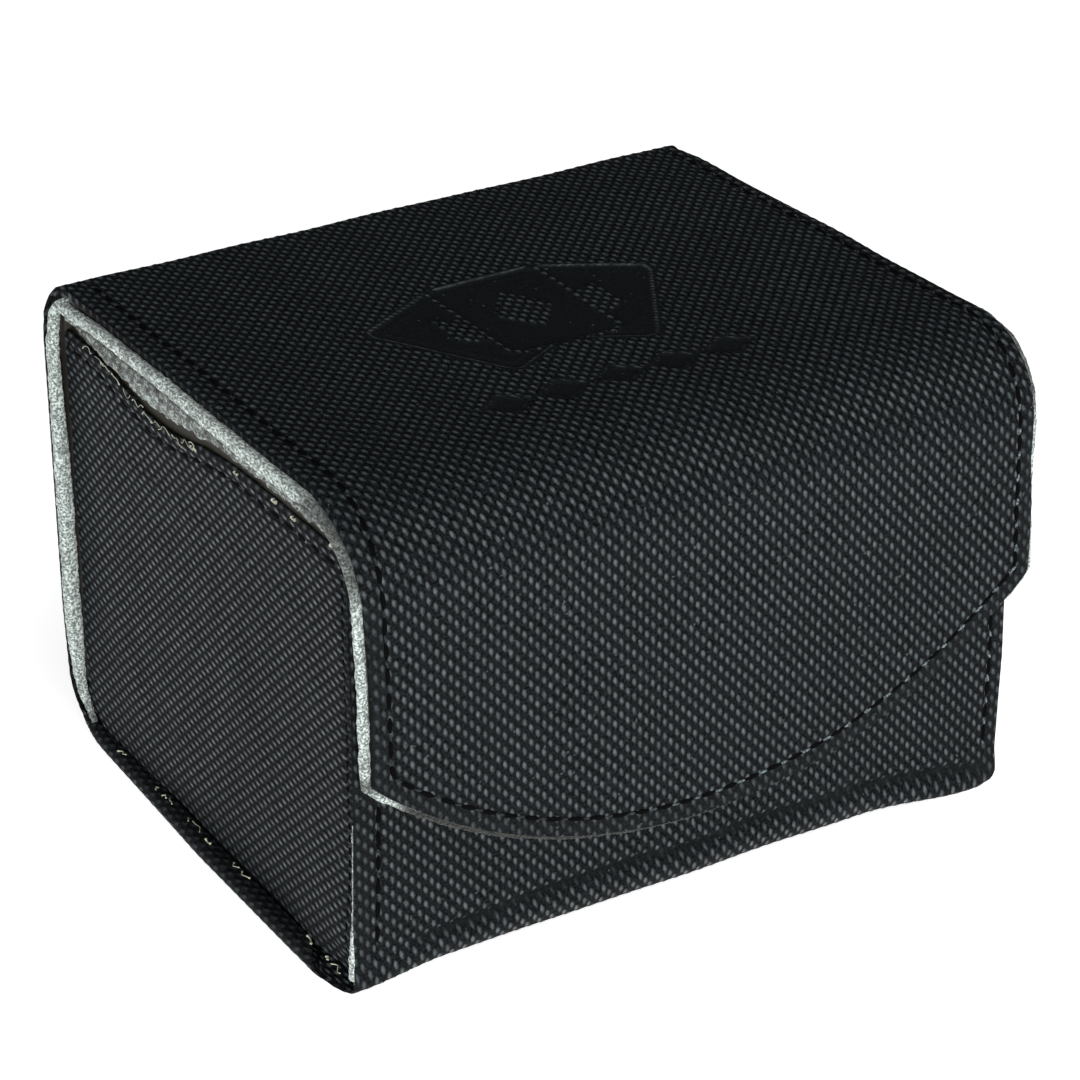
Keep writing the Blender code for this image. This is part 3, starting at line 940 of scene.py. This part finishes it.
def raw_edge(name, centre, out, up, half_out, half_up, fray, around=20, soil_and_shade=None):
    """A soft strip along the points in centre, wide along out and thick along up, all in
    mm. fray is the spread of its tufts, and soil_and_shade how dark it is, from 0 to 1: soil in
    some places, painted shade in others."""
    bpy.ops.object.select_all(action="DESELECT")
    count = len(centre) - 1
    bpy.ops.mesh.primitive_grid_add(x_subdivisions=around, y_subdivisions=count, size=2)
    strip = bpy.context.object
    flat = np.empty(len(strip.data.vertices) * 3)
    strip.data.vertices.foreach_get("co", flat)
    flat = flat.reshape(-1, 3)
    ring = np.rint((flat[:, 0] + 1) * 0.5 * around).astype(int) % around
    row = np.rint((flat[:, 1] + 1) * 0.5 * count).astype(int)
    tuft = np.random.default_rng(len(centre)).normal(0, fray, (count + 1, around))
    tuft = (tuft + np.roll(tuft, 1, 0) * 0.8 + np.roll(tuft, 1, 1) * 0.4) / 1.3
    turn = ring * 2 * math.pi / around
    c, s = np.cos(turn), np.sin(turn)
    wide = np.sign(c) * np.abs(c) ** 0.6 * half_out[row]
    thick = np.sign(s) * np.abs(s) ** 0.6 * half_up[row]
    fuzz = tuft[row, ring]
    points = centre[row] + out[row] * (wide + c * fuzz)[:, None]
    points = points + up[row] * (thick + s * fuzz * 0.4)[:, None]
    strip.data.vertices.foreach_set("co", (points * 0.001).ravel())
    darkening = np.zeros((len(flat), 3))
    if soil_and_shade is not None:
        darkening[:, 2] = soil_and_shade[row]
    record = strip.data.attributes.new("strip", "FLOAT_VECTOR", "POINT")
    record.data.foreach_set("vector", darkening.ravel())
    work = bmesh.new()
    work.from_mesh(strip.data)
    bmesh.ops.remove_doubles(work, verts=work.verts, dist=0.0000004)
    bmesh.ops.holes_fill(work, edges=[e for e in work.edges if e.is_boundary])
    bmesh.ops.recalc_face_normals(work, faces=work.faces)
    work.to_mesh(strip.data)
    work.free()
    strip.name = name
    strip.data.name = name
    strip.data.materials.append(lining)
    bpy.ops.object.shade_smooth_by_angle(angle=math.radians(70))
    return strip


arc_x = np.linspace(-1, 1, 230) * 53.95 + 1.35
down_s = np.linspace(0.2, FLAP_START, 200)
drop_left = np.linspace(FLAP_START + 0.45, flap_cut(np.array(-52.6)) - 0.4, 56)
drop_right = np.linspace(flap_cut(np.array(55.2)) - 0.4, FLAP_START + 0.45, 50)
ring_s = np.concatenate([down_s, drop_left, flap_cut(arc_x), drop_right, down_s[::-1]])
ring_x = np.concatenate([
    -cut_at(lid_left, np.concatenate([down_s, drop_left])),
    arc_x,
    cut_at(lid_right, np.concatenate([drop_right, down_s[::-1]])),
])

# deep: how far the strip's middle lies under the skin's face. half: half its thickness.
deep = 1.85 - 0.48 * rise(ring_s, 72, 76)
deep = deep + 0.55 * (1 - rise(ring_s, 3, 12))
bending = rise(ring_s, 72, 78) * (1 - rise(ring_s, 92, 98))
half = 0.78 + 0.27 * rise(ring_s, 10, 60) - 0.60 * bending - 0.45 * rise(ring_s, 93, 98)
past_corner = rise(53.0 - np.abs(ring_x - 1.3), 2.0, 5.5) * rise(ring_s, 121, 122)
at_corner = np.exp(-((ring_s - 122.5) / 0.9) ** 2)
half = half - 0.45 * past_corner
# Painted shade: the edge is darkened over the bend, and along the flap's arc past its corners,
# where it faces down.
darkening = np.clip(0.72 * bending + 0.97 * past_corner + 0.8 * at_corner, 0, 0.96)
mid_depth = 2.0
here = on_lid(ring_x, ring_s, mid_depth + 0 * ring_s)
ups = unit(here - on_lid(ring_x, ring_s, mid_depth + 1 + 0 * ring_s))
outs = -np.cross(unit(np.gradient(here, axis=0)), ups)
here = here + ups * (mid_depth - deep)[:, None]
arc_part = rise(ring_s, 122.5, 126)
swell = 0.45 - 0.25 * rise(ring_s, 74, 98) - 0.25 * arc_part
lid_edge = raw_edge("lid_raw_edge", here - outs * 0.55, outs, ups,
                    0.52 + 0.8 * swell, half, 0.07, soil_and_shade=darkening)
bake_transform(lid_edge)

across_x = np.linspace(-51.5, 54.6, 260)
side_s = np.linspace(flap_cut(np.array(55.0)), 110, 20)
worn_x = np.concatenate([across_x, np.full(20, 55.0)])
worn_s = np.concatenate([flap_cut(across_x) - 0.06, side_s])
here = on_lid(worn_x, worn_s, 0.38 + 0 * worn_s)
faces = here - on_lid(worn_x, worn_s, 1.38 + 0 * worn_s)
outs = np.cross(faces, unit(np.gradient(here, axis=0)))
# The worn edge is dark, lighter towards the right.
flap_worn = raw_edge("flap_worn_edge", here, outs, faces,
                     0.13 + 0 * worn_s, 0.30 + 0 * worn_s, 0.05, around=10,
                     soil_and_shade=0.90 - 0.28 * rise(worn_x, 0, 30) + 0.12 * uneven(worn_x, worn_s, 8.0))
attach(flap_worn, "flap")

for side, word in ((-1, "left"), (1, "right")):
    cut = left_cut if side < 0 else right_cut
    s = np.linspace(150.0, CASE_LENGTH + 0.1, 210)
    taper = rise(s, 148, 170)
    narrow = rise(s, 190, 216)
    corner = rise(s, 212, 222)
    edge = side * (cut_at(cut, s) - 0.9 + 0.3 * narrow)
    here = on_case(edge, s, 2.0 + 0.6 * corner)
    ups = unit(here - on_case(edge, s, 3.0 + 0.6 * corner))
    outs = np.stack([side + 0 * s, 0 * s, 0 * s], axis=-1)
    # Painted shade: the edge is darker at its foot, round the base's back bend near the floor.
    piece = raw_edge(f"back_raw_edge_{word}", here, outs, ups,
                     0.45 + 0.70 * taper - 0.36 * narrow,
                     0.30 + 0.88 * taper - 0.38 * corner, 0.07,
                     soil_and_shade=0.5 * (1 - rise(s, 150, 158)))
    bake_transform(piece)

for side, word in ((-1, "left"), (1, "right")):
    z = np.linspace(2.6, 27.0, 90) if side < 0 else np.linspace(9.0, 30.0, 90)
    reach = cut_at(left_cut if side < 0 else right_cut, 68.5 - z) - (0 if side < 0 else 0.35)
    centre = np.stack([side * (reach - 0.12), 0 * z - 40.55, z], axis=-1)
    ones = np.ones_like(z)
    thin = 1 - rise(z, 2, 14)
    # The edge gets darker towards its top.
    piece = raw_edge(f"front_worn_edge_{word}", centre,
                     np.stack([side * ones, 0 * z, 0 * z], axis=-1),
                     np.stack([0 * z, ones, 0 * z], axis=-1),
                     0.12 + 0.30 * thin, 0.12 + 0.48 * thin, 0.07,
                     soil_and_shade=0.25 * rise(z, 20, 27))
    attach(piece, "case")

x = np.linspace(-51.9, 55.2, 200)
ones = np.ones_like(x)
front_edge = raw_edge("front_raw_edge",
                      np.stack([x, 0 * x - 39.15, 0 * x + 68.35], axis=-1),
                      np.stack([0 * x, 0 * x, ones], axis=-1),
                      np.stack([0 * x, ones, 0 * x], axis=-1),
                      0.45 * ones, 1.05 * ones, 0.05)
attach(front_edge, "case")

# ------------------------------
# Seams: lockstitch at a pitch of 3.7 mm. The dark top thread is drawn down into a groove,
# and the pale bobbin thread shows as a short twist at every needle hole.


def dark_thread(start):
    ply = start.noise(2400.0, 2.0)
    return {
        "Base Color": ply.blend((0.0006, 0.0006, 0.0007, 1), (0.003, 0.003, 0.0035, 1)),
        "Roughness": 0.8 + ply * 0.2,
        "Specular IOR Level": 0.04,
    }


def pale_thread(start):
    ply = start.noise(3000.0, 2.0).step(0.35, 0.65)
    place = start.node("ShaderNodeTexCoord", {}, {}, 3)
    across = start.node("ShaderNodeSeparateXYZ", {}, {"Vector": place}, 0)
    height = start.node("ShaderNodeSeparateXYZ", {}, {"Vector": place}, 2)
    worn = across.step(-0.020, 0.015) * (1 - height.step(0.066, 0.0725))
    tint = ply.blend((0.03, 0.038, 0.042, 1), (0.20, 0.25, 0.26, 1))
    tint = (worn * 0.9 + 0.1).blend((0.006, 0.007, 0.008, 1), tint)
    return {
        "Base Color": tint,
        "Roughness": 0.6 + ply * 0.2,
        "Specular IOR Level": 0.2,
    }


thread = finish_of("dark_thread", dark_thread)
bobbin = finish_of("pale_thread", pale_thread)

bpy.ops.object.select_all(action="DESELECT")
bpy.ops.mesh.primitive_uv_sphere_add(segments=8, ring_count=6, radius=0.0005)
stitch = bpy.context.object
stitch.name = "one_stitch"
bpy.ops.object.mode_set(mode="EDIT")
bpy.ops.mesh.select_all(action="SELECT")
bpy.ops.transform.rotate(value=math.pi / 2, orient_axis="Y", center_override=(0, 0, 0))
bpy.ops.object.mode_set(mode="OBJECT")
stitch_mesh = stitch.data
bpy.data.objects.remove(stitch)


def seam(name, spot, points, pitch=3.7, long=1.28, twist=0.52):
    """Stitches along a line of (x, s) points on the surface that spot gives. long and
    twist are half the length of a dark stitch and of a pale one.
    Returns the dark thread and the pale twists as two pieces."""

    def at_depth(pair, depth):
        return Vector(spot(*[np.array([v]) for v in (*pair, depth)])[0])

    points = np.array(points, float)
    steps = np.concatenate([[0], np.cumsum(np.hypot(*np.diff(points, axis=0).T))])
    count = int(steps[-1] / pitch)
    pitch = steps[-1] / count
    wobble = np.random.default_rng(count)
    pieces = []
    for kind, finish in (("thread", thread), ("twist", bobbin)):
        work = bmesh.new()
        for number in range(count + (kind == "twist")):
            at = number * pitch + (0.5 * pitch if kind == "thread" else 0)
            span = long if kind == "thread" else twist * (0.7 + 0.6 * wobble.random())
            ends = []
            for place in (at - span, at + span):
                end = [np.interp(place, steps, points[:, k]) for k in (0, 1)]
                if kind == "twist":
                    end[0] += 0.16 * (1 if place > at else -1)
                ends.append(end)
            sunk = 0.24 if kind == "thread" else 0.14 + 0.14 * wobble.random()
            first, last = [at_depth(end, sunk) for end in ends]
            middle = [(ends[0][k] + ends[1][k]) / 2 for k in (0, 1)]
            core = at_depth(middle, sunk)
            ahead = (last - first).normalized()
            skyward = (core - at_depth(middle, sunk + 1)).normalized()
            aside = ahead.cross(skyward).normalized()
            skyward = aside.cross(ahead)
            thick = 0.95 if kind == "thread" else 0.42
            tall = 0.42 if kind == "thread" else 0.46
            shape = Matrix((ahead * (last - first).length, aside * thick,
                            skyward * tall)).transposed().to_4x4()
            place = Matrix.Translation(core * 0.001) @ shape
            before = len(work.verts)
            work.from_mesh(stitch_mesh)
            work.verts.ensure_lookup_table()
            bmesh.ops.transform(work, matrix=place, verts=work.verts[before:])
        mesh = bpy.data.meshes.new(f"{name}_{kind}")
        bmesh.ops.recalc_face_normals(work, faces=work.faces)
        for face in work.faces:
            face.smooth = True
        work.to_mesh(mesh)
        work.free()
        mesh.materials.append(finish)
        piece = bpy.data.objects.new(mesh.name, mesh)
        bpy.context.scene.collection.objects.link(piece)
        pieces.append(piece)
    return pieces


seam_arc = np.linspace(-50.0, 52.7, 60)
lid_seam = [(-(cut_at(lid_left, s) - seam_inset(-1, s)), s)
            for s in np.linspace(1, FLAP_START, 60)]
lid_seam += list(zip(seam_arc, flap_cut(seam_arc, radius=75.6)))
lid_seam += [(cut_at(lid_right, s) - seam_inset(1, s), s)
             for s in np.linspace(FLAP_START, 1, 60)]
lid_seam = [(float(x), float(s)) for x, s in lid_seam]
for piece in seam("lid_seam", on_lid, lid_seam):
    if piece.name == "lid_seam_thread":
        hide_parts("lid_thread_left", "lid_thread_right", "flap_thread")
    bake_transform(piece)

for side, word, cut in ((-1, "left", left_cut), (1, "right", right_cut)):
    for wall, low, high in (("front", 1.5, 61.5), ("back", 161.5, 218)):
        inset = FRONT_LEFT_INSET if (side, wall) == (-1, "front") else SEAM_INSET
        line = [(float(side * (cut_at(cut, s) - inset)), float(s))
                for s in np.linspace(low, high, 30)]
        for piece in seam(f"{wall}_seam_{word}", on_case, line):
            if piece.name.endswith("thread"):
                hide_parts(f"{wall}_thread_{word}")
            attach(piece, "case")

    def on_side(y, z, depth, side=side):
        return np.stack([side * (side_reach(side, y, z) - depth), y, z], axis=-1)

    rim_line = [(y, side_top(y) - RIM_SEAM_DROP) for y in np.linspace(-38.0, 42.5, 40)]
    corner_line = [(CORNER_SEAM_Y, 66.0), (CORNER_SEAM_Y, 3.6)]
    for line, node, pitch, long, twist in ((rim_line, "side_rim", 3.7, 1.28, 0.36),
                                           (corner_line, "side_corner", 1.9, 0.55, 0.24)):
        for piece in seam(f"{node}_seam_{word}", on_side, line, pitch, long, twist):
            if piece.name.endswith("thread"):
                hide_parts(f"{node}_thread_{word}")
            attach(piece, "case")

# ------------------------------
# Set glue: strings and beads of clear yellowish adhesive in the gap under the side walls'
# folded lining, at the foot of the side wall and at the front corner.


def set_glue(start):
    cloud = start.noise(900.0, 2.0)
    return {
        "Base Color": cloud.blend((0.26, 0.27, 0.17, 1), (0.62, 0.62, 0.50, 1)),
        "Roughness": 0.22 + cloud * 0.1,
        "Coat Weight": 0.3,
        "Specular IOR Level": 0.5,
    }


glue = finish_of("set_glue", set_glue)


def glue_string(name, points, radius):
    """A string of glue through the points: thick at its ends, thin between. The record
    has no slot for glue, so it keeps the slot of the lining that it sticks to."""
    bpy.ops.object.select_all(action="DESELECT")
    points = np.array(points, float)
    steps = np.linspace(0, 1, 21)
    place = np.stack([np.interp(steps, np.linspace(0, 1, len(points)), points[:, k])
                      for k in range(3)], axis=-1)
    for _ in range(3):
        place[1:-1] = (place[:-2] + 2 * place[1:-1] + place[2:]) / 4
    forward = unit(np.gradient(place, axis=0))
    any_slant = np.array([0.3, 0.5, 0.81])
    side_way = unit(np.cross(forward, any_slant))
    up_way = np.cross(side_way, forward)
    size = radius * (0.55 + 0.9 * (2 * steps - 1) ** 4)
    size[0] = size[-1] = radius * 0.4
    piece = raw_edge(name, place, side_way, up_way, size, size, radius * 0.04, around=8)
    piece.data.materials.clear()
    piece.data.materials.append(glue)
    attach(piece, "case")


scatter = np.random.default_rng(12)
for number in range(12):
    y = 38.0 - number * 3.1 - 1.2 * scatter.random()
    z = float(side_top(np.array(y))) + 0.1
    way = [(-53.0 - 0.25 * scatter.random(), y - step * (0.5 + 0.5 * scatter.random()),
            z + 1.3 * scatter.random() - 0.5) for step in range(5)]
    glue_string(f"glue_string_{number}", way, 0.04 + 0.06 * scatter.random())
for number, (y, z, size) in enumerate(((-21.0, 67.4, 0.24), (-26.5, 67.2, 0.22),
                                       (-37.6, 68.0, 0.34), (-40.4, 2.2, 0.62),
                                       (3.0, 65.4, 0.2), (-10.0, 66.9, 0.18))):
    reach = float(side_reach(-1, np.array(y), np.array(z)))
    glue_string(f"glue_bead_{number}",
                [(-reach - 0.05, y - 0.5, z), (-reach - 0.15, y, z - 0.1),
                 (-reach, y + 0.5, z)], size)
for number in range(12):
    y = 38.0 - 74.0 * scatter.random()
    length = 0.2 + 0.9 * scatter.random()
    way = [(-53.4 - 0.9 * scatter.random(), y - step * length,
            2.2 + 0.5 * scatter.random()) for step in range(4)]
    glue_string(f"base_glue_{number}", way, 0.05 + 0.16 * scatter.random() ** 2)
